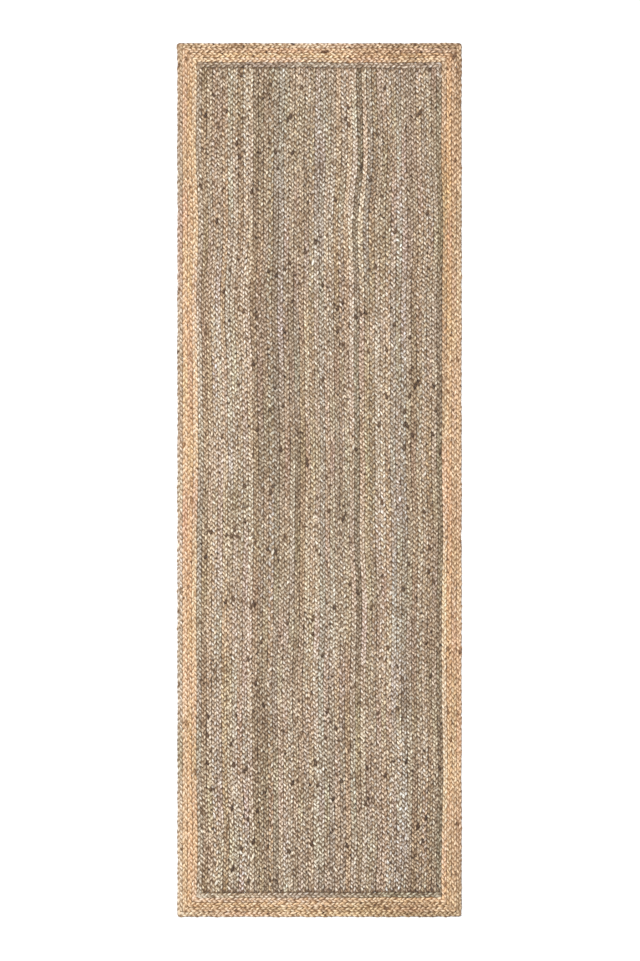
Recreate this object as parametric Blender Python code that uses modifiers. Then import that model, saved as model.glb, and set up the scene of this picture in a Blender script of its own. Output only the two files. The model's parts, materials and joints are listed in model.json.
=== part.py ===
"""Flat braided jute runner rug.

Straight lengthwise braids fill the field. One grey braid runs round the
field, and four laps of natural jute braid run round that as a border.
Sewing threads in the grooves of the underside hold the braids together.

Units are metres. The origin is at the centre of the underside, X runs
across the rug, Y along it and Z up.
"""

import math

import bpy
import bmesh

# Overall size
RUG_WIDTH = 0.775
RUG_LENGTH = 2.386
THICKNESS = 0.010

# Braids. Each width includes the braid's share of the seams beside it.
BORDER_LAPS = 4
BORDER_BRAID = 0.0131
RING_BRAID = 0.0136
FIELD_ROWS = 46

# Rounding and clearances
CORNER_RADIUS = 0.008  # where a lap of the border turns, seen from above
EDGE_ROUND = 0.004  # along the long edges of every braid
SEAM = 0.0003  # between two braids that are sewn together
THREAD = 0.0008  # diameter of the sewing thread
THREAD_CLEARANCE = 0.0003  # from a thread to the braids, and between threads

# Fineness of the rounded shapes
CORNER_STEPS = 5
EDGE_STEPS = 2

COLLECTION = "runner_rug"

# Base colour and roughness of each yarn
FINISHES = {
    "natural_jute": ((0.58, 0.41, 0.23), 0.85),
    "grey_jute": ((0.36, 0.32, 0.24), 0.88),
    "taupe_jute": ((0.40, 0.31, 0.22), 0.88),
    "sewing_thread": ((0.50, 0.42, 0.30), 0.75),
}

# The row of braids, from the outside in
RING_INSET = BORDER_LAPS * BORDER_BRAID
FIELD_INSET = RING_INSET + RING_BRAID
FIELD_WIDTH = RUG_WIDTH - 2 * FIELD_INSET
FIELD_LENGTH = RUG_LENGTH - 2 * FIELD_INSET
ROW_PITCH = FIELD_WIDTH / FIELD_ROWS

# A thread lies as deep in a groove as two of them fit side by side.
THREAD_SIDE = (THREAD + THREAD_CLEARANCE) / 2
THREAD_REACH = EDGE_ROUND + THREAD / 2 + THREAD_CLEARANCE
THREAD_HEIGHT = EDGE_ROUND - math.sqrt(
    THREAD_REACH**2 - (EDGE_ROUND + SEAM / 2 - THREAD_SIDE) ** 2
)


def clear_scene():
    for obj in list(bpy.data.objects):
        bpy.data.objects.remove(obj, do_unlink=True)


def make_collection():
    collection = bpy.data.collections.new(COLLECTION)
    bpy.context.scene.collection.children.link(collection)
    return collection


def make_finish(name):
    colour, roughness = FINISHES[name]
    material = bpy.data.materials.new(name)
    material.use_nodes = True
    shader = material.node_tree.nodes["Principled BSDF"]
    shader.inputs["Base Color"].default_value = (*colour, 1.0)
    shader.inputs["Roughness"].default_value = roughness
    shader.inputs["Metallic"].default_value = 0.0
    material.diffuse_color = (*colour, 1.0)
    return material


def rounded_rectangle(width, length, radius, clockwise=False):
    """Points of a rectangle with round corners, about the origin."""
    centres = (
        (width / 2 - radius, length / 2 - radius, 0.0),
        (radius - width / 2, length / 2 - radius, math.pi / 2),
        (radius - width / 2, radius - length / 2, math.pi),
        (width / 2 - radius, radius - length / 2, math.pi * 1.5),
    )
    points = []
    for x, y, start in centres:
        for step in range(CORNER_STEPS + 1):
            angle = start + math.pi / 2 * step / CORNER_STEPS
            points.append((x + radius * math.cos(angle), y + radius * math.sin(angle)))
    if clockwise:
        points.reverse()
    return points


def add_spline(curve, points, cyclic):
    spline = curve.splines.new("POLY")
    spline.points.add(len(points) - 1)
    for point, (x, y) in zip(spline.points, points):
        point.co = (x, y, 0.0, 1.0)
    spline.use_cyclic_u = cyclic


def add_object(name, data, finish, collection, height):
    obj = bpy.data.objects.new(name, data)
    obj.location = (0.0, 0.0, height)
    data.materials.append(finish)
    collection.objects.link(obj)
    return obj


def make_lap(name, inset, width, inner_radius, finish, collection):
    """One closed lap of braid, whose outer side lies inset from the rug's edge."""
    curve = bpy.data.curves.new(name, "CURVE")
    curve.dimensions = "2D"
    curve.fill_mode = "BOTH"
    outer = inset + SEAM / 2 if inset else 0.0  # no seam outside the outermost lap
    inner = inset + width - SEAM / 2
    add_spline(
        curve,
        rounded_rectangle(RUG_WIDTH - 2 * outer, RUG_LENGTH - 2 * outer, CORNER_RADIUS),
        True,
    )
    add_spline(
        curve,
        rounded_rectangle(
            RUG_WIDTH - 2 * inner, RUG_LENGTH - 2 * inner, inner_radius, clockwise=True
        ),
        True,
    )
    curve.extrude = THICKNESS / 2 - EDGE_ROUND
    curve.bevel_depth = EDGE_ROUND
    curve.bevel_resolution = EDGE_STEPS - 1
    curve.offset = -EDGE_ROUND
    return add_object(name, curve, finish, collection, THICKNESS / 2)


def make_field_row(name, x, finish, collection):
    """One straight braid of the field."""
    mesh = bpy.data.meshes.new(name)
    bm = bmesh.new()
    bmesh.ops.create_cube(bm, size=1.0)
    size = (ROW_PITCH - SEAM, FIELD_LENGTH - SEAM, THICKNESS)
    bmesh.ops.scale(bm, vec=size, verts=bm.verts)
    bm.to_mesh(mesh)
    bm.free()
    row = add_object(name, mesh, finish, collection, THICKNESS / 2)
    row.location.x = x
    bevel = row.modifiers.new("Round edges", "BEVEL")
    bevel.width = EDGE_ROUND
    bevel.segments = EDGE_STEPS
    bevel.limit_method = "NONE"
    return row


def make_thread(name, points, cyclic, finish, collection):
    """A sewing thread along a route in the grooves of the underside."""
    curve = bpy.data.curves.new(name, "CURVE")
    curve.dimensions = "3D"
    add_spline(curve, points, cyclic)
    curve.bevel_depth = THREAD / 2
    curve.bevel_resolution = 1
    curve.use_fill_caps = True
    return add_object(name, curve, finish, collection, THREAD_HEIGHT)


def lap_thread_route(inset, radius):
    """Round the rug in the groove on the inner side of a lap."""
    return rounded_rectangle(RUG_WIDTH - 2 * inset, RUG_LENGTH - 2 * inset, radius)


def field_thread_route():
    """Up one seam of the field and down the next, turning past the ends of the rows."""
    turn = FIELD_LENGTH / 2 - THREAD_SIDE
    points = []
    for seam in range(1, FIELD_ROWS):
        x = seam * ROW_PITCH - FIELD_WIDTH / 2
        way = 1 if seam % 2 else -1
        points.append((x, -way * turn))
        points.append((x, way * turn))
    return points


def main():
    clear_scene()
    collection = make_collection()
    finish = {name: make_finish(name) for name in FINISHES}

    for lap in range(BORDER_LAPS):
        make_lap(
            f"border_lap_{lap + 1}",
            lap * BORDER_BRAID,
            BORDER_BRAID,
            CORNER_RADIUS,
            finish["natural_jute"],
            collection,
        )
    make_lap(
        "grey_ring",
        RING_INSET,
        RING_BRAID,
        EDGE_ROUND,
        finish["grey_jute"],
        collection,
    )

    for row in range(FIELD_ROWS):
        x = (row + 0.5) * ROW_PITCH - FIELD_WIDTH / 2
        make_field_row(f"field_row_{row + 1:02d}", x, finish["taupe_jute"], collection)

    for lap in range(1, BORDER_LAPS):
        make_thread(
            f"border_thread_{lap}",
            lap_thread_route(lap * BORDER_BRAID, CORNER_RADIUS),
            True,
            finish["sewing_thread"],
            collection,
        )
    make_thread(
        "ring_outer_thread",
        lap_thread_route(RING_INSET, CORNER_RADIUS),
        True,
        finish["sewing_thread"],
        collection,
    )
    make_thread(
        "ring_inner_thread",
        lap_thread_route(FIELD_INSET - THREAD_SIDE, EDGE_ROUND + THREAD_SIDE),
        True,
        finish["sewing_thread"],
        collection,
    )
    make_thread(
        "field_thread",
        field_thread_route(),
        False,
        finish["sewing_thread"],
        collection,
    )


main()
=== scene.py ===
import json
import math

import bpy
import numpy as np
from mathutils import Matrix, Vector

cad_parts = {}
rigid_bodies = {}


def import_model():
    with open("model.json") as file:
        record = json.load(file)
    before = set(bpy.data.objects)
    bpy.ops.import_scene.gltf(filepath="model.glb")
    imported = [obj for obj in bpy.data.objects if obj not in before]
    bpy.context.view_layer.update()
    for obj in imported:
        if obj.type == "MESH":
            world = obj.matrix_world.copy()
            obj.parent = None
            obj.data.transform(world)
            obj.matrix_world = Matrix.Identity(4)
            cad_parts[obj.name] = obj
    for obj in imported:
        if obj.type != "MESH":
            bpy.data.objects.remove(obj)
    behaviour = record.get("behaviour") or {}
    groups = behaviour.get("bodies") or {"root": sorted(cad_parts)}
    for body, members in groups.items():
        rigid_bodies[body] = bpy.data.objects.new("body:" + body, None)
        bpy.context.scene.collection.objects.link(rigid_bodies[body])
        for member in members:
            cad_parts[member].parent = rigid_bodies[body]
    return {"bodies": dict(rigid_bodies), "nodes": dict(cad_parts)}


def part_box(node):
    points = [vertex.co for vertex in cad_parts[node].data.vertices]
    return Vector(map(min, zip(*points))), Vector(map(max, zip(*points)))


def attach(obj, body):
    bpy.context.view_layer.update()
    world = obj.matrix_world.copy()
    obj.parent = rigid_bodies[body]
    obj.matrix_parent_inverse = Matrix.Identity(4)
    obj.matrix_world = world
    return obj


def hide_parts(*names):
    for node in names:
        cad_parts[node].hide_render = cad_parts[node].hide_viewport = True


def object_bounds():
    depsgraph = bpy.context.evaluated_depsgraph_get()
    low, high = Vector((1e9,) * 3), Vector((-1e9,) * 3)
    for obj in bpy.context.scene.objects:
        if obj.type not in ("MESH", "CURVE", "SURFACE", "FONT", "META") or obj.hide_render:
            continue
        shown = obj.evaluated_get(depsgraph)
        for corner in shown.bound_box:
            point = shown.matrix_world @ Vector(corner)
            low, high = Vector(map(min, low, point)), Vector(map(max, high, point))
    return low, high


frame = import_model()
cadBox = [list(corner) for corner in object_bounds()]
rugLow, rugHigh = (np.array(corner) for corner in cadBox)
rugThick = rugHigh[2] - rugLow[2]
bodyName = next(iter(frame["bodies"]))
rowNodes = sorted(name for name in frame["nodes"] if name.startswith("field_row_"))
print("frame:", len(frame["nodes"]), "nodes")

# Each random choice has its own seed
seeds = {
    "sideways": 5,
    "endways": 8,
    "lift": 9,
    "streak": 12,
    "seam": 21,
    "rowLoose": 22,
    "lapLoose": 60,  # this and those below have the braid's number added
    "rowYarn": 100,
    "row": 200,
    "lapYarn": 300,
    "lap": 400,
}
noise = {
    "grid": 96,
    "middle": (47.3, 47.7),  # where the rug's middle lies on the grid
    "faceSpread": 0.55,
    "driftSpread": 0.5,
    "bumpSpread": 1.5,
    "bumpLimit": 1.3,
    "spareBumps": 20,  # this many more are drawn than a strand should have
    "firstBump": 4,  # so many of them come before the strand's start
    "grainShift": 10.0,  # strands take their grain from places as far apart as this
}

# How each yarn looks in daylight, 0 to 255
yarns = {
    "pale": (193, 172, 149),
    "pink": (184, 161, 138),
    "taupe": (175, 155, 133),
    "grey": (176, 161, 143),
    "olive": (165, 147, 125),
    "straw": (186, 165, 134),
    "brown": (164, 142, 117),
    "russet": (163, 138, 111),
    "dark": (156, 137, 116),
    "rose": (207, 178, 149),
    "gold": (215, 180, 144),
    "wheat": (218, 188, 153),
    "honey": (205, 170, 133),
    "apricot": (211, 170, 135),
    "tan": (196, 162, 128),
    "moss": (171, 152, 129),
    "bark": (152, 134, 111),
    "cream": (217, 195, 166),
    "umber": (181, 150, 116),
    "blond": (225, 194, 161),
    "dusk": (143, 125, 102),
    "sage": (169, 156, 132),
    "silver": (188, 170, 150),
}


def linear(tone):
    share = np.array(tone, float) / 255
    return np.where(share <= 0.04045, share / 12.92, ((share + 0.055) / 1.055) ** 2.4)


def smooth(x):
    x = np.clip(x, 0.0, 1.0)
    return x * x * (3 - 2 * x)


def drift(rng, at, length, spacing, closed=False):
    # a random value that changes slowly along a braid, mostly within -1 to 1
    count = max(3, round(length / spacing))
    knots = rng.normal(0.0, noise["driftSpread"], count + 2)
    if closed:
        knots[count:] = knots[:2]
    x = np.clip(at / length, 0.0, 1.0) * count
    low = np.minimum(x.astype(int), count)
    blend = smooth(x - low)
    return knots[low] * (1 - blend) + knots[low + 1] * blend


def perBump(rng, x, count, closed):
    # a random value for each bump of a strand; bumps lie where x is a whole number
    low = np.floor(x).astype(int)
    drawn = rng.normal(0.0, 1.0, count + noise["spareBumps"])
    knots = noise["bumpSpread"] * np.tanh(drawn / noise["bumpLimit"])
    first = low % count if closed else low + noise["firstBump"]
    second = (low + 1) % count if closed else first + 1
    blend = smooth(x - low)
    return knots[first] * (1 - blend) + knots[second] * blend


def softNoise(x, y, cell, seed):
    # smooth random values over the rug's face, mostly within -1 to 1
    size = (noise["grid"], noise["grid"])
    grid = np.random.default_rng(seed).normal(0.0, noise["faceSpread"], size)
    x, y = x / cell[0] + noise["middle"][0], y / cell[1] + noise["middle"][1]
    i, j = np.floor(x).astype(int), np.floor(y).astype(int)
    a, b = smooth(x - i), smooth(y - j)
    left = grid[i, j] * (1 - b) + grid[i, j + 1] * b
    right = grid[i + 1, j] * (1 - b) + grid[i + 1, j + 1] * b
    return left * (1 - a) + right * a


# How far the braids lie from their true lines
laying = {
    "sideways": 0.0056,
    "sidewaysCell": (0.16, 0.21),
    "endways": 0.0020,
    "endwaysCell": (0.07, 0.30),
    "lift": 0.0003,
    "liftCell": (0.05, 0.09),
    "edgeHold": 0.075,  # nearer to the rug's edge than this they lie straighter
}


def lay(points):
    # every braid and thread goes through this, so they wander together and none cross
    x, y = points[:, 0], points[:, 1]
    free = smooth((rugHigh[0] - np.abs(x)) / laying["edgeHold"])
    free = free * smooth((rugHigh[1] - np.abs(y)) / laying["edgeHold"])
    moved = points.copy()
    for axis, way in enumerate(("sideways", "endways", "lift")):
        hold = 1.0 if way == "lift" else free
        moved[:, axis] += laying[way] * hold * softNoise(x, y, laying[way + "Cell"], seeds[way])
    moved[:, 2] = np.maximum(moved[:, 2], rugLow[2])
    return moved


def makeMesh(name, points, quads, caps, corners=None, tones=None, lays=None):
    mesh = bpy.data.meshes.new(name)
    loops = np.concatenate([quads.reshape(-1), *[np.array(cap) for cap in caps]])
    sizes = np.concatenate([np.full(len(quads), 4), [len(cap) for cap in caps]]).astype(int)
    starts = np.cumsum(sizes) - sizes
    mesh.vertices.add(len(points))
    mesh.vertices.foreach_set("co", points.astype(np.float32).ravel())
    mesh.loops.add(len(loops))
    mesh.loops.foreach_set("vertex_index", loops.astype(np.int32))
    mesh.polygons.add(len(sizes))
    mesh.polygons.foreach_set("loop_start", starts.astype(np.int32))
    mesh.polygons.foreach_set("loop_total", sizes.astype(np.int32))
    mesh.polygons.foreach_set("use_smooth", np.ones(len(sizes), bool))
    mesh.update(calc_edges=True)
    if corners is not None:
        capCorners = np.full((len(loops) - len(corners), 2), 0.5)
        layer = mesh.uv_layers.new(name="OFBake")
        layer.uv.foreach_set(
            "vector", np.concatenate([corners, capCorners]).astype(np.float32).ravel()
        )
    if tones is not None:
        # the yarn's own colour with painted highlights and painted shade in it
        layer = mesh.attributes.new("yarnToneAndPaintedLight", "FLOAT_COLOR", "POINT")
        rgba = np.concatenate([tones, np.ones((len(tones), 1))], 1)
        layer.data.foreach_set("color", rgba.astype(np.float32).ravel())
    if lays is not None:
        layer = mesh.attributes.new("fibreLay", "FLOAT_VECTOR", "POINT")
        layer.data.foreach_set("vector", lays.astype(np.float32).ravel())
    piece = bpy.data.objects.new(name, mesh)
    bpy.context.scene.collection.objects.link(piece)
    return piece


def tubeFaces(rings, sides, closed):
    # four-sided faces of a tube, whose points go ring by ring
    last = rings if closed else rings - 1
    i, j = np.repeat(np.arange(last), sides), np.tile(np.arange(sides), last)
    here, ahead, nextSide = i * sides, (i + 1) % rings * sides, (j + 1) % sides
    return np.stack([here + j, ahead + j, ahead + nextSide, here + nextSide], 1)


def tubeEnds(rings, sides, first=0):
    last = first + rings * sides - 1
    return [[first + k for k in range(sides)], [last - k for k in range(sides)]]


def standFor(piece, node, material):
    piece.data.materials.append(material)
    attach(piece, bodyName)
    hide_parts(node)


# A braid is three strands, each crossing over and under the other two. Shares are of the
# braid's width across it and of the rug's thickness up and down.
plait = {
    "swing": 0.285,  # how far a strand's middle goes to the side
    "linger": 0.10,  # how long it stays at a side before it turns back
    "rise": 0.285,  # how far it goes up and down
    "crestLead": 0.30,  # radians; puts its bumps nearer to the braid's middle
    "strandWide": 0.49,
    "spread": 0.45,  # how much wider it is pressed where it passes under
    "strandHigh": 0.41,
    "tallSides": 0.80,  # how much taller it stands where it turns at a side
    "tallSharpness": 4,
    "fullness": 2.4,  # 2 makes its section an ellipse, more makes it squarer
    "plies": 3,  # a strand is as many plies, laid round each other
    "plyTurn": 0.034,  # once in this length
    "plyGroove": 0.22,  # depth of the grooves between them, a share of the strand's half width
    "grooveSharpness": 6,
    "sides": 12,
    "step": 0.0027,
    "endTuck": 0.009,  # the cut ends are pressed down over this length
    "endDrop": 0.0008,
    "endRise": 0.7,  # what is left there of its rise and of its height
    "endHigh": 0.8,
    "girth": 0.0142,  # round a strand
    "stripRim": 0.04,  # bare edge of a strip when the strands are laid out flat
}
# How unevenly the braids are made and coloured, with the painted light and shade on them: a
# painted highlight on bump tops, and painted shade in ply grooves, deep creases and seams
unevennessAndPaintedLight = {
    "beat": 0.32,  # how far the crossings run early or late, in crossings
    "beatSpacing": 0.07,
    "jitter": 0.35,  # the same from one crossing to the next
    "jitterSpacing": 0.018,
    "wander": 0.0004,
    "wanderSpacing": 0.13,
    "plump": 0.03,
    "plumpSpacing": 0.09,
    "bumpSideways": 0.0007,
    "bumpHeight": 0.18,
    "bumpSize": 0.11,
    "bumpTone": 0.16,
    "crestLight": 0.36,  # painted highlight: how much lighter the top of a bump is
    "crestSharpness": 6,
    "crestMiddling": 0.3,
    "plyTone": 0.62,
    "plySpacing": 0.0045,
    "plyShade": 0.75,  # painted shade: how much darker the grooves between the plies are
    "darkBumps": (0.008, -2.1),  # their share of all, and how much darker they are
    "paleBumps": (0.006, 0.25),
    "darkSpecks": (0.012, -2.8),  # the same for bits of bark in a ply
    "streakTone": 0.12,
    "streakCell": (0.012, 0.20),
    "looseSeamShade": 0.55,  # painted shade: how much darker a seam is where it was sewn less tightly
    "looseCell": 0.22,
    "loosest": 1.5,
    "seamSharpness": 4,
    "crease": 1.35,  # painted shade: how much darker the yarn is deep between the strands
    "creaseFrom": 0.36,  # shares of the way from mid-thickness to the face
    "creaseTo": 1.0,
    "creaseEase": 0.32,  # the seams lie lower than the middle without being darker
    "easeSharpness": 3,
    "lightReach": 0.73,  # light places level off towards this much lighter
    "lightEase": 0.9,
    "palest": 0.88,  # no yarn reflects more than this
}
shadeTint = {  # dark places are warmer
    "field": np.array([0.79, 1.0, 1.24]),
    "border": np.array([0.78, 1.0, 1.26]),
}
lightTint = np.array([0.92, 1.0, 1.04])  # and light ones paler


def strandPoints(s, u, w, wide, high, closed, lie):
    # rings of points round a strand, as along, across and up, and how near each is to a
    # groove between two plies; lie is how far the plies have turned
    du, dw = np.gradient(u, s), np.gradient(w, s)
    if closed:
        du[0] = du[-1] = (u[1] - u[-2]) / (s[1] - s[0]) / 2
        dw[0] = dw[-1] = (w[1] - w[-2]) / (s[1] - s[0]) / 2
    lean = np.sqrt(1 + du**2)
    across = np.stack([-du / lean, 1 / lean, 0 * du], 1)
    up = np.stack([-dw, -du * dw, lean**2], 1)
    up /= np.linalg.norm(up, axis=1)[:, None]
    turn = 2 * np.pi * np.arange(plait["sides"]) / plait["sides"]
    section = np.stack([np.cos(turn), np.sin(turn)])
    section = np.sign(section) * np.abs(section) ** (2 / plait["fullness"])
    turned = turn[None] - lie[:, None]
    groove = np.cos(turned * plait["plies"] / 2) ** plait["grooveSharpness"]
    reach = (1 - plait["plyGroove"] * groove)[..., None] / 2
    sideways = across[:, None] * section[0][None, :, None] * wide[:, None, None] * reach
    upward = up[:, None] * section[1][None, :, None] * high[:, None, None] * reach
    return np.stack([s, u, w], 1)[:, None] + sideways + upward, groove, turned


def bakeStrips(last, strand, length):
    # where each face between two rings lies when the strands are laid out in flat strips
    sides, rim = plait["sides"], plait["stripRim"]
    perStrand = max(2, round(math.sqrt(length / plait["girth"] / 3)))
    i = np.repeat(np.arange(last), sides)
    j = np.tile(np.arange(sides), last)
    perStrip = math.ceil(last / perStrand)
    strip = i // perStrip
    left = (i - strip * perStrip) / perStrip
    right = left + 1 / perStrip
    low = (strand * perStrand + strip + rim + (1 - 2 * rim) * j / sides) / (3 * perStrand)
    high = low + (1 - 2 * rim) / sides / (3 * perStrand)
    return np.stack([left, low, right, low, right, high, left, high], 1).reshape(-1, 2)


def crossingsAlong(rng, s, path, stitch):
    # how many crossings a braid has made at each place, and how many bumps a strand gets
    length, closed = path["length"], path["closed"]
    crossings = length / stitch
    if closed:
        crossings = 3 * round(crossings / 3)  # so that each strand meets itself
    beat = s / length * crossings
    for unsteady in ("beat", "jitter"):
        spacing = unevennessAndPaintedLight[unsteady + "Spacing"]
        beat = beat + unevennessAndPaintedLight[unsteady] * drift(rng, s, length, spacing, closed)
    if not closed:
        beat = beat + rng.uniform(0, 3)  # the ends are cut anywhere in the plait
    return beat, 4 * round(crossings / 3)


def strandCourse(s, phase, roll, own, path, width, plump, wander):
    # how far to the side and up a strand's middle is, and how wide and high its section is
    across = (np.sin(phase) + plait["linger"] * np.sin(3 * phase)) / (1 - plait["linger"])
    u = width * plait["swing"] * across + wander + unevennessAndPaintedLight["bumpSideways"] * own[1]
    w = rugThick * plait["rise"] * np.sin(roll)
    w = w * (1 - unevennessAndPaintedLight["bumpHeight"] * np.abs(own[2]))
    fat = plump * (1 + unevennessAndPaintedLight["bumpSize"] * own[0]) * path["fullness"](s)
    under = np.maximum(0.0, -np.sin(roll))
    wide = width * plait["strandWide"] * fat * (1 + plait["spread"] * under)
    atSide = np.sin(phase) ** plait["tallSharpness"]
    high = rugThick * plait["strandHigh"] * (1 + plait["tallSides"] * atSide)
    if not path["closed"]:
        end = 1 - smooth(np.minimum(s, path["length"] - s) / plait["endTuck"])
        w = w * (1 - (1 - plait["endRise"]) * end) - plait["endDrop"] * end
        high = high * (1 - (1 - plait["endHigh"]) * end)
    return u, w, wide, high


def bumpLight(rng, bump, bumpCount, roll, own, closed):
    # the top of a bump has a painted highlight, each has its own tone, and a few are dark or pale
    crest = np.maximum(0.0, np.sin(roll)) ** unevennessAndPaintedLight["crestSharpness"]
    light = unevennessAndPaintedLight["bumpTone"] * own
    light = light + unevennessAndPaintedLight["crestLight"] * (crest - unevennessAndPaintedLight["crestMiddling"])
    nearest = np.round(bump).astype(int) + noise["firstBump"]
    if closed:
        nearest = nearest % bumpCount
    for share, depth in (unevennessAndPaintedLight["darkBumps"], unevennessAndPaintedLight["paleBumps"]):
        struck = rng.random(bumpCount + noise["spareBumps"]) < share
        light = light + depth * struck[nearest]
    return light


def plyLight(rng, at, turned, path):
    # each ply changes its tone along the way, and has dark bits in it
    spacing = unevennessAndPaintedLight["plySpacing"]
    share, depth = unevennessAndPaintedLight["darkSpecks"]
    light = np.zeros(turned.shape)
    for ply in range(plait["plies"]):
        middle = 2 * np.pi * (ply + 0.5) / plait["plies"]
        off = np.mod(turned - middle + np.pi, 2 * np.pi) - np.pi
        here = np.sqrt(np.cos(np.clip(off * plait["plies"] / 2, -np.pi / 2, np.pi / 2)))
        tone = unevennessAndPaintedLight["plyTone"] * drift(rng, at, path["length"], spacing, path["closed"])
        specks = rng.random(round(path["length"] / spacing) + 1) < share
        tone = tone + depth * specks[(at / spacing).astype(int) % len(specks)]
        light = light + tone[:, None] * here
    return light.ravel()


def creaseShade(across, heights, width, openSide):
    # painted shade: yarn deep between the strands is darker; no neighbour shades an open side
    depth = np.abs(heights - rugLow[2] - rugThick / 2) / (rugThick / 2)
    beside = -across if openSide else np.abs(across)
    nearSeam = np.clip(beside / (width / 2), 0, 1) ** unevennessAndPaintedLight["easeSharpness"]
    ease = unevennessAndPaintedLight["creaseEase"] * nearSeam
    reach = unevennessAndPaintedLight["creaseTo"] - unevennessAndPaintedLight["creaseFrom"]
    return unevennessAndPaintedLight["crease"] * (1 - smooth((depth - unevennessAndPaintedLight["creaseFrom"] + ease) / reach))


def seamShade(across, x, y, width, path):
    # painted shade: seams are darker where they were sewn less tightly
    loose = np.where(across > 0, path["loose"](x, y, 1), path["loose"](x, y, 0))
    nearSeam = np.clip(2 * np.abs(across) / width, 0, 1) ** unevennessAndPaintedLight["seamSharpness"]
    return unevennessAndPaintedLight["looseSeamShade"] * np.clip(loose, 0, unevennessAndPaintedLight["loosest"]) * nearSeam


def lightened(tone, light, tint):
    light = light[:, None]
    reach = unevennessAndPaintedLight["lightReach"] * lightTint
    change = np.where(light > 0, reach * np.tanh(light / unevennessAndPaintedLight["lightEase"]), tint * light)
    tone = tone * np.exp(change)
    return tone / np.maximum(1, tone.max(1, keepdims=True) / unevennessAndPaintedLight["palest"])


def fibreLay(rng, at, turned, width):
    # a place for each point as if the strand lay straight, for the grain of its fibres
    reach = width * plait["strandWide"] / 2
    along = np.repeat(at[:, None] + noise["grainShift"] * rng.uniform(), plait["sides"], 1)
    return np.stack([np.cos(turned) * reach, np.sin(turned) * reach, along], 2).reshape(-1, 3)


def makeBraid(name, node, material, path, width, stitch, tonesAt, seed, openSide=False):
    # path gives the length, whether it is closed, x and y for along and across, how full
    # the strands are, how loose the seam at each side is for its painted shade, how strong
    # the contrast is, how much lighter it all is and the tint of its dark places
    rng = np.random.default_rng(seed)
    length, closed, sides = path["length"], path["closed"], plait["sides"]
    s = np.linspace(0.0, length, round(length / plait["step"]) + 1)
    rows = len(s) - 1 if closed else len(s)
    at = s[:rows]
    beat, bumpCount = crossingsAlong(rng, s, path, stitch)
    plumpDrift = drift(rng, s, length, unevennessAndPaintedLight["plumpSpacing"], closed)
    plump = 1 + unevennessAndPaintedLight["plump"] * plumpDrift
    wander = unevennessAndPaintedLight["wander"] * drift(rng, s, length, unevennessAndPaintedLight["wanderSpacing"], closed)
    points, tones, lays, faces, corners, caps = [], [], [], [], [], []
    count = 0
    for strand in range(3):
        phase = 2 * np.pi * (beat + strand) / 3
        roll = 2 * phase + plait["crestLead"]
        bump = roll / np.pi - 0.5
        own = [perBump(rng, bump, bumpCount, closed) for _ in range(4)]
        u, w, wide, high = strandCourse(s, phase, roll, own, path, width, plump, wander)
        turns = length / plait["plyTurn"]
        turns = round(turns) if closed else turns
        lie = 2 * np.pi * turns * s / length + rng.uniform(0, 6)
        rings, groove, turned = strandPoints(s, u, w, wide, high, closed, lie)
        flat = rings[:rows].reshape(-1, 3)
        groove, turned = groove[:rows], turned[:rows]
        x, y = path["place"](flat[:, 0], flat[:, 1])
        placed = lay(np.stack([x, y, flat[:, 2] + rugThick / 2 + rugLow[2]], 1))

        # painted light goes into the yarn's colour here: a painted highlight on bump tops, and
        # painted shade in the ply grooves, deep creases and seams
        light = bumpLight(rng, bump[:rows], bumpCount, roll[:rows], own[3][:rows], closed)
        streak = softNoise(*path["place"](at, u[:rows]), unevennessAndPaintedLight["streakCell"], seeds["streak"])
        light = np.repeat(light + unevennessAndPaintedLight["streakTone"] * streak, sides)
        light = light + plyLight(rng, at, turned, path) - unevennessAndPaintedLight["plyShade"] * groove.ravel()
        light = light - creaseShade(flat[:, 1], placed[:, 2], width, openSide)
        light = light - seamShade(flat[:, 1], x, y, width, path)
        light = path["contrast"](x, y) * light + path["lighter"](x, y)
        tone = np.repeat(tonesAt(at, strand), sides, 0)
        tones.append(lightened(tone, light, path["tint"]))
        lays.append(fibreLay(rng, at, turned, width))

        points.append(placed)
        faces.append(tubeFaces(rows, sides, closed) + count)
        corners.append(bakeStrips(rows if closed else rows - 1, strand, length))
        if not closed:
            caps += tubeEnds(rows, sides, count)
        count += len(placed)
    piece = makeMesh(
        name,
        np.concatenate(points),
        np.concatenate(faces),
        caps,
        np.concatenate(corners),
        np.concatenate(tones),
        np.concatenate(lays),
    )
    standFor(piece, node, material)


# The finishes
jute = {
    # yarn is lighter than the braid made of it, which has shaded creases
    "gain": np.array([1.40, 1.53, 1.65]),
    "fibreScale": 1500.0,
    "fibreStretch": 0.05,  # its fibres are about twenty times as long as they are thick
    "fibreDark": 0.62,
    "fibreLight": 1.22,
    "clumpScale": 420.0,  # bundles of fibres
    "clumpStretch": 0.60,
    "clumpDark": 0.62,
    "clumpLight": 1.38,
    "bumpHeight": 0.0005,
    "bumpStrength": 0.7,
    "noiseDetail": 3.0,
    "noiseRoughness": 0.6,
    "noiseLow": 0.25,
    "noiseHigh": 0.75,
    "roughnessSpread": 0.12,
    "sheenRoughness": 0.5,
    "natural": {"roughness": 0.58, "sheen": 0.12},
    "taupe": {"roughness": 0.60, "sheen": 0.12},
    "grey": {"roughness": 0.64, "sheen": 0.10},
}


def addNode(tree, kind, **settings):
    node = tree.nodes.new(kind)
    for key, value in settings.items():
        setattr(node, key, value)
    return node


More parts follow.
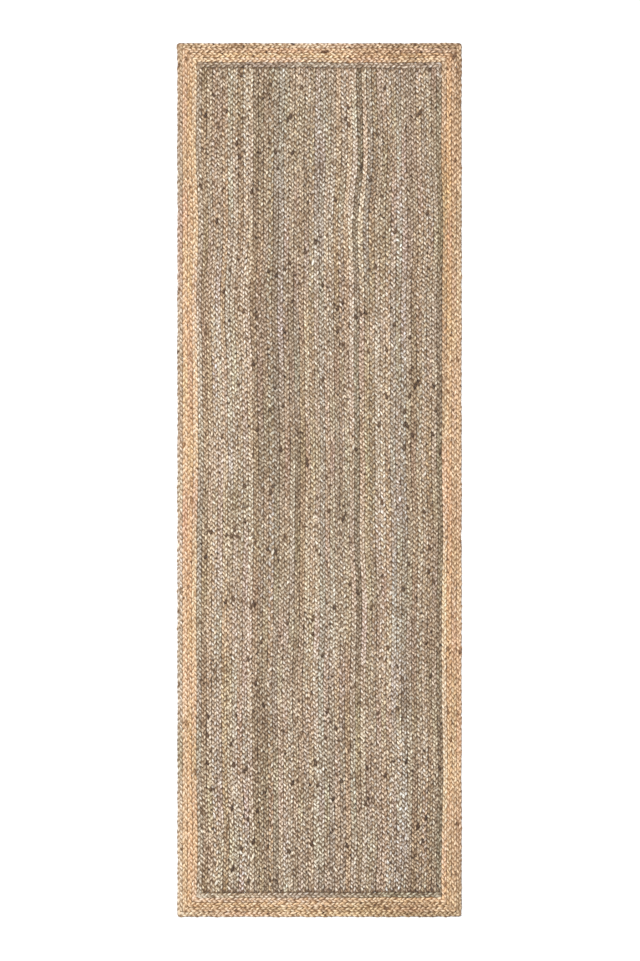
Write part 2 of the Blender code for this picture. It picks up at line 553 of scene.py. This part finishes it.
def juteMaterial(name, roughness, sheen):
    material = bpy.data.materials.new(name)
    material.use_nodes = True
    tree = material.node_tree
    shader = tree.nodes["Principled BSDF"]
    # the yarn's colour, with painted highlights and painted shade in it
    tone = addNode(tree, "ShaderNodeAttribute", attribute_name="yarnToneAndPaintedLight")
    place = addNode(tree, "ShaderNodeAttribute", attribute_name="fibreLay")
    shade = tone.outputs["Color"]
    for kind in ("clump", "fibre"):
        stretch = addNode(tree, "ShaderNodeMapping")
        stretch.inputs["Scale"].default_value = (1.0, 1.0, jute[kind + "Stretch"])
        tree.links.new(place.outputs["Vector"], stretch.inputs["Vector"])
        fibres = addNode(tree, "ShaderNodeTexNoise")
        fibres.inputs["Scale"].default_value = jute[kind + "Scale"]
        fibres.inputs["Detail"].default_value = jute["noiseDetail"]
        fibres.inputs["Roughness"].default_value = jute["noiseRoughness"]
        tree.links.new(stretch.outputs["Vector"], fibres.inputs["Vector"])
        spread = addNode(tree, "ShaderNodeMapRange")
        spread.inputs["From Min"].default_value = jute["noiseLow"]
        spread.inputs["From Max"].default_value = jute["noiseHigh"]
        spread.inputs["To Min"].default_value = jute[kind + "Dark"]
        spread.inputs["To Max"].default_value = jute[kind + "Light"]
        tree.links.new(fibres.outputs["Fac"], spread.inputs["Value"])
        scale = addNode(tree, "ShaderNodeVectorMath", operation="SCALE")
        tree.links.new(shade, scale.inputs[0])
        tree.links.new(spread.outputs["Result"], scale.inputs["Scale"])
        shade = scale.outputs["Vector"]
    tree.links.new(shade, shader.inputs["Base Color"])
    dull = addNode(tree, "ShaderNodeMapRange")
    dull.inputs["To Min"].default_value = roughness + jute["roughnessSpread"]
    dull.inputs["To Max"].default_value = roughness - jute["roughnessSpread"]
    tree.links.new(fibres.outputs["Fac"], dull.inputs["Value"])
    tree.links.new(dull.outputs["Result"], shader.inputs["Roughness"])
    bump = addNode(tree, "ShaderNodeBump")
    bump.inputs["Strength"].default_value = jute["bumpStrength"]
    bump.inputs["Distance"].default_value = jute["bumpHeight"]
    tree.links.new(fibres.outputs["Fac"], bump.inputs["Height"])
    tree.links.new(bump.outputs["Normal"], shader.inputs["Normal"])
    shader.inputs["Sheen Weight"].default_value = sheen
    shader.inputs["Sheen Roughness"].default_value = jute["sheenRoughness"]
    return material


naturalJute = juteMaterial("naturalJute", **jute["natural"])
taupeJute = juteMaterial("taupeJute", **jute["taupe"])
greyJute = juteMaterial("greyJute", **jute["grey"])

# How a yarn changes along its braid: how much, and over what distance
yarnDrift = {
    "shift": (0.06, 0.15),  # where it goes over from one tone to the next
    "strandTone": (0.09, 0.30),
    "strandHue": (0.03, 0.14),
    "braidTone": (0.20, 0.35),
    "braidHue": (0.028, 0.17),
    "braidBlush": (0.05, 0.12),
    "warmer": np.array([1.0, 0.0, -1.6]),
    "pinker": np.array([0.35, -0.65, 0.35]),
}


def tonesAlong(names, places, length, rng, closed=False):
    # a yarn changes along its braid from each named tone to the next, and strands differ
    named = np.array([linear(yarns[name]) * jute["gain"] for name in names])
    own = rng.normal(0.0, yarnDrift["strandTone"][0], 3)
    ownHue = rng.normal(0.0, 1.0, 3)
    sharedSeed = rng.integers(1000000)

    def changing(source, kind, at):
        size, spacing = yarnDrift[kind]
        return size * drift(source, at, length, spacing, closed)

    def tonesAt(at, strand):
        shifted = at + changing(rng, "shift", at)
        period = length if closed else None
        base = [np.interp(shifted, places, named[:, k], period=period) for k in range(3)]
        light = own[strand] + changing(rng, "strandTone", at)
        hue = yarnDrift["strandHue"][0] * ownHue[strand] + changing(rng, "strandHue", at)
        shared = np.random.default_rng(sharedSeed)
        light = light + changing(shared, "braidTone", at)
        hue = hue + changing(shared, "braidHue", at)
        blush = changing(shared, "braidBlush", at)
        warm = hue[:, None] * yarnDrift["warmer"] + blush[:, None] * yarnDrift["pinker"]
        return np.stack(base, 1) * np.exp(light[:, None] * shadeTint["field"] + warm)

    return tonesAt


# The field: straight braids side by side
fieldRow = {
    "stitch": 0.0127,
    "stitchSpread": 0.03,
    "endSpread": 0.0015,
    "seamDrift": 0.0011,  # braids are wider here and narrower there
    "seamCell": 0.10,
    "toneStops": np.array([0.17, 0.5, 0.83]),  # where its three yarns lie, as shares of its length
    "nearContrast": 0.24,  # how much stronger light and dark are near the rug's near end
    "nearLighter": 0.10,
    "nearFrom": 0.25,  # shares of the way from the middle to the near end
    "nearTo": 0.875,
}
fieldYarns = {
    "p": "pale",
    "k": "pink",
    "t": "taupe",
    "g": "grey",
    "o": "olive",
    "y": "straw",
    "b": "brown",
    "r": "russet",
    "d": "dark",
    "u": "dusk",
    "s": "silver",
}
# each braid from left to right: its yarn at the far end, in the middle and at the near end
fieldPlan = (
    "bbb oks kpp kkp kky ggt sss btp pks ppp obd bdb brb odt dud gtp tkp tds tut trt "
    "tkt obt gps ggg tks tpt rdt tto por ppt uub pks oyt brt tpk tkk tkt kgs gss kot "
    "brt obb kbt ttt tbb ttb"
).split()
seams = [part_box(node)[0][0] for node in rowNodes] + [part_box(rowNodes[-1])[1][0]]


def seamAt(number, y):
    free = smooth(min(number, len(rowNodes) - number) / 2)
    bow = softNoise(np.full_like(y, number), y, (1.0, fieldRow["seamCell"]), seeds["seam"])
    return seams[number] + fieldRow["seamDrift"] * free * bow


def rowPath(number, near, far, width):
    def place(along, across):
        y = near + along
        left, right = seamAt(number, y), seamAt(number + 1, y)
        return left + (across / width + 0.5) * (right - left), y

    def loose(x, y, side):
        seam = np.full_like(y, number + side)
        return softNoise(seam, y, (1.0, unevennessAndPaintedLight["looseCell"]), seeds["rowLoose"])

    def nearness(y):
        reach = fieldRow["nearTo"] - fieldRow["nearFrom"]
        return smooth((-y / rugHigh[1] - fieldRow["nearFrom"]) / reach)

    return {
        "length": far - near,
        "closed": False,
        "place": place,
        "fullness": lambda along: 1.0,
        "loose": loose,
        "contrast": lambda x, y: 1 + fieldRow["nearContrast"] * nearness(y),
        "lighter": lambda x, y: fieldRow["nearLighter"] * nearness(y),
        "tint": shadeTint["field"],
    }


for number, node in enumerate(rowNodes):
    rng = np.random.default_rng(seeds["rowYarn"] + number)
    low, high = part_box(node)
    near, far = np.array([low[1], high[1]]) + fieldRow["endSpread"] * rng.uniform(-1, 1, 2)
    length, width = far - near, high[0] - low[0]
    names = [fieldYarns[letter] for letter in reversed(fieldPlan[number % len(fieldPlan)])]
    makeBraid(
        f"field_braid_{number + 1:02d}",
        node,
        taupeJute,
        rowPath(number, near, far, width),
        width,
        fieldRow["stitch"] * (1 + fieldRow["stitchSpread"] * rng.normal()),
        tonesAlong(names, fieldRow["toneStops"] * length, length, rng),
        seeds["row"] + number,
    )
print("field:", len(rowNodes), "braids")


# The laps round the field. Each is described from its right side's near end, going round
# by the far end and the left side.
lapStyle = {
    "stitch": 0.0141,
    "bend": 0.0078,
    "outerSquare": 4.3,
    "innerSquare": 9.0,
    "cornerFuller": 0.28,  # how much wider the strands are where they turn a corner
    "cornerReach": 0.013,
    "contrast": (0.60, 0.68, 0.95),  # on the left, on the right and at both ends
    "lighter": (0.0, 0.05, 0.09),
    "greyContrast": (0.92, 0.92, 0.92),
    "greyLighter": (0.0, -0.06, 0.02),
}
lapPlan = {
    "border_lap_1": ("tan tan umber", "umber rose umber", "pink pale taupe", "wheat wheat umber"),
    "border_lap_2": ("honey tan honey", "tan gold tan", "gold apricot gold", "gold honey honey"),
    "border_lap_3": ("gold tan honey", "honey blond honey", "tan tan gold", "wheat wheat umber"),
    "border_lap_4": ("cream rose umber", "rose rose wheat", "rose rose wheat", "rose rose gold"),
    "grey_ring": ("dusk bark bark", "taupe moss olive", "pale grey grey", "pale grey sage"),
}


def lapPath(halfWide, halfLong, square, number, contrasts, lights, tint):
    # a closed way round, from the right side's near end; square fills out the corners
    bend = lapStyle["bend"]
    quarter = bend * math.pi / 2
    runs = []
    for turn in range(4):
        ahead, beside = (halfLong, halfWide) if turn % 2 == 0 else (halfWide, halfLong)
        runs.append((beside, ahead, 2 * (ahead - bend)))
    starts = np.cumsum([0.0] + [run[2] + quarter for run in runs])
    length = starts[-1]

    def place(along, across):
        along = np.mod(along, length)
        x, y = np.zeros_like(along), np.zeros_like(along)
        for turn, (beside, ahead, straight) in enumerate(runs):
            here = (along >= starts[turn]) & (along < starts[turn + 1])
            way = along - starts[turn]
            angle = np.clip((way - straight) / bend, 0, math.pi / 2)
            fill = (np.cos(angle) ** square + np.sin(angle) ** square) ** (-1 / square)
            reach = (bend + across) * fill
            out = beside - bend + reach * np.cos(angle)
            on = np.where(
                way < straight, way - straight / 2, ahead - bend + reach * np.sin(angle)
            )
            c, d = ((1, 0), (0, 1), (-1, 0), (0, -1))[turn]
            x = np.where(here, c * out - d * on, x)
            y = np.where(here, d * out + c * on, y)
        return x, y

    def fullness(along):
        near = [np.abs(along - start + quarter / 2) for start in starts[1:]]
        return 1 + lapStyle["cornerFuller"] * smooth(1 - np.min(near, 0) / lapStyle["cornerReach"])

    def loose(x, y, side):
        cell = unevennessAndPaintedLight["looseCell"]
        return softNoise(x, y, (cell, cell), seeds["lapLoose"] + number + 1 - side)

    def bySide(x, y, values):
        left, right, end = values
        beside = np.where(x < 0, left, right)
        return np.where(halfLong - np.abs(y) < halfWide - np.abs(x), end, beside)

    return {
        "length": length,
        "closed": True,
        "place": place,
        "starts": starts,
        "fullness": fullness,
        "loose": loose,
        "contrast": lambda x, y: bySide(x, y, contrasts),
        "lighter": lambda x, y: bySide(x, y, lights),
        "tint": tint,
    }


for number, (node, sides) in enumerate(lapPlan.items()):
    low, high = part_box(node)
    inside = list(lapPlan)[number + 1] if number + 1 < len(lapPlan) else rowNodes[-1]
    width = high[0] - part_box(inside)[1][0]
    square = lapStyle["outerSquare"] if number == 0 else lapStyle["innerSquare"]
    isGrey = node == "grey_ring"
    path = lapPath(
        high[0] - width / 2,
        high[1] - width / 2,
        square,
        number,
        lapStyle["greyContrast" if isGrey else "contrast"],
        lapStyle["greyLighter" if isGrey else "lighter"],
        shadeTint["field" if isGrey else "border"],
    )
    names, places = [], []
    for turn, side in enumerate(sides):
        words = side.split()
        names += words
        start, end = path["starts"][turn], path["starts"][turn + 1]
        places += [start + (end - start) * (k + 0.5) / len(words) for k in range(len(words))]
    rng = np.random.default_rng(seeds["lapYarn"] + number)
    makeBraid(
        "grey_braid" if isGrey else node.replace("lap", "braid"),
        node,
        greyJute if isGrey else naturalJute,
        path,
        width,
        lapStyle["stitch"],
        tonesAlong(names, places, path["length"], rng, True),
        seeds["lap"] + number,
        openSide=number == 0,
    )
print("laps:", len(lapPlan))


# The sewing threads zigzag over the seams in the grooves underneath
sewing = {
    "thread": 0.0008,
    "stitch": 0.0125,
    "reach": 0.0017,
    "height": 0.0009,
    "sides": 5,
    "twists": 700.0,
    "twistUneven": 1.5,
    "twistDepth": 0.0002,
    "roughness": 0.7,
    "dark": (0.34, 0.27, 0.18, 1),
    "light": (0.60, 0.52, 0.38, 1),
}


def threadMaterial():
    material = bpy.data.materials.new("sewingThread")
    material.use_nodes = True
    tree = material.node_tree
    shader = tree.nodes["Principled BSDF"]
    place = addNode(tree, "ShaderNodeTexCoord")
    twist = addNode(tree, "ShaderNodeTexWave", bands_direction="DIAGONAL")
    twist.inputs["Scale"].default_value = sewing["twists"]
    twist.inputs["Distortion"].default_value = sewing["twistUneven"]
    tree.links.new(place.outputs["Object"], twist.inputs["Vector"])
    ramp = addNode(tree, "ShaderNodeValToRGB")
    ramp.color_ramp.elements[0].color = sewing["dark"]
    ramp.color_ramp.elements[1].color = sewing["light"]
    tree.links.new(twist.outputs["Fac"], ramp.inputs["Fac"])
    tree.links.new(ramp.outputs["Color"], shader.inputs["Base Color"])
    bump = addNode(tree, "ShaderNodeBump")
    bump.inputs["Distance"].default_value = sewing["twistDepth"]
    tree.links.new(twist.outputs["Fac"], bump.inputs["Height"])
    tree.links.new(bump.outputs["Normal"], shader.inputs["Normal"])
    shader.inputs["Roughness"].default_value = sewing["roughness"]
    return material


def makeThread(name, node, material, route, closed):
    route = np.array(route + route[:1] if closed else route)
    run = np.concatenate([[0], np.cumsum(np.linalg.norm(np.diff(route, axis=0), axis=1))])
    count = 2 * round(run[-1] / sewing["stitch"])
    at = np.linspace(0, run[-1], count + 1)
    x, y = (np.interp(at, run, route[:, k]) for k in (0, 1))
    dx, dy = np.gradient(x), np.gradient(y)
    size = np.maximum(np.hypot(dx, dy), 1e-9)
    side = sewing["reach"] * np.where(np.arange(count + 1) % 2 == 0, 1.0, -1.0)
    spine = lay(np.stack([x - dy / size * side, y + dx / size * side, 0 * x], 1))
    spine[:, 2] = rugLow[2] + sewing["height"]
    if closed:
        spine = spine[:-1]
    rings, sides = len(spine), sewing["sides"]
    ahead = np.roll(spine, -1, 0) - np.roll(spine, 1, 0)
    if not closed:
        ahead[0], ahead[-1] = spine[1] - spine[0], spine[-1] - spine[-2]
    ahead /= np.maximum(np.linalg.norm(ahead, axis=1), 1e-9)[:, None]
    out = np.stack([-ahead[:, 1], ahead[:, 0], 0 * ahead[:, 0]], 1)
    turn = 2 * np.pi * np.arange(sides) / sides
    upward = np.array([0.0, 0.0, 1.0])
    section = np.cos(turn)[None, :, None] * out[:, None] + np.sin(turn)[None, :, None] * upward
    points = (spine[:, None] + section * sewing["thread"] / 2).reshape(-1, 3)
    caps = [] if closed else tubeEnds(rings, sides)
    piece = makeMesh(name, points, tubeFaces(rings, sides, closed), caps)
    standFor(piece, node, material)


sewingThread = threadMaterial()
lapThreads = sorted(name for name in frame["nodes"] if "thread" in name and name != "field_thread")
for node in lapThreads:
    right, end = np.array(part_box(node)[1][:2]) - sewing["thread"] / 2
    route = [(right, -end), (right, end), (-right, end), (-right, -end)]
    makeThread(node.replace("thread", "lacing"), node, sewingThread, route, True)
low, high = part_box("field_thread")
route = []
for number in range(len(rowNodes) - 1):
    seam = (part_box(rowNodes[number])[1][0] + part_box(rowNodes[number + 1])[0][0]) / 2
    ends = [(seam, low[1]), (seam, high[1])]
    route += ends if number % 2 == 0 else ends[::-1]
makeThread("field_lacing", "field_thread", sewingThread, route, False)
print("threads:", len(lapThreads) + 1)


# Floor, lights and camera
studio = {
    "floor": (0.86, 0.86, 0.86),
    "floorSize": 40.0,
    "floorGap": 0.0002,
    "floorRoughness": 0.9,
    "floorGloss": 0.1,
    "world": 0.40,
    "key": {"place": (-1.6, 1.5, 8.6), "size": 1.8, "power": 825.0},
    "fill": {"place": (2.6, -1.8, 8.6), "size": 4.0, "power": 85.0},
    "lens": 100.0,
    "sensor": 36.0,
    "farClip": 60.0,
    "seen": 2.6237,  # how much of the floor the view's long side takes in
    "aim": (0.0014, -0.0014),
}


def makeFloor():
    half, z = studio["floorSize"] / 2, rugLow[2] - studio["floorGap"]
    mesh = bpy.data.meshes.new("floor")
    outline = [(-half, -half, z), (half, -half, z), (half, half, z), (-half, half, z)]
    mesh.from_pydata(outline, [], [(0, 1, 2, 3)])
    floor = bpy.data.objects.new("floor", mesh)
    bpy.context.scene.collection.objects.link(floor)
    material = bpy.data.materials.new("paleFloor")
    material.use_nodes = True
    shader = material.node_tree.nodes["Principled BSDF"]
    shader.inputs["Base Color"].default_value = (*studio["floor"], 1)
    shader.inputs["Roughness"].default_value = studio["floorRoughness"]
    shader.inputs["Specular IOR Level"].default_value = studio["floorGloss"]
    mesh.materials.append(material)


def softLight(name, place, size, power):
    light = bpy.data.lights.new(name, "AREA")
    light.size = size
    light.energy = power
    lamp = bpy.data.objects.new(name, light)
    lamp.location = place
    lamp.rotation_euler = (-Vector(place)).to_track_quat("-Z", "Y").to_euler()
    bpy.context.scene.collection.objects.link(lamp)


def makeCamera():
    data = bpy.data.cameras.new("camera")
    data.lens = studio["lens"]
    data.sensor_width = studio["sensor"]
    data.clip_end = studio["farClip"]
    camera = bpy.data.objects.new("camera", data)
    away = studio["seen"] * studio["lens"] / studio["sensor"]
    camera.location = (*studio["aim"], rugHigh[2] + away)
    bpy.context.scene.collection.objects.link(camera)
    bpy.context.scene.camera = camera


def makeWorld():
    world = bpy.data.worlds.new("studio")
    world.use_nodes = True
    sky = world.node_tree.nodes["Background"]
    sky.inputs["Color"].default_value = (1, 1, 1, 1)
    sky.inputs["Strength"].default_value = studio["world"]
    bpy.context.scene.world = world


makeFloor()
for name in ("key", "fill"):
    softLight(name, **studio[name])
makeWorld()
makeCamera()
bpy.context.scene.view_settings.view_transform = "Standard"
print("studio: floor, lights and camera")
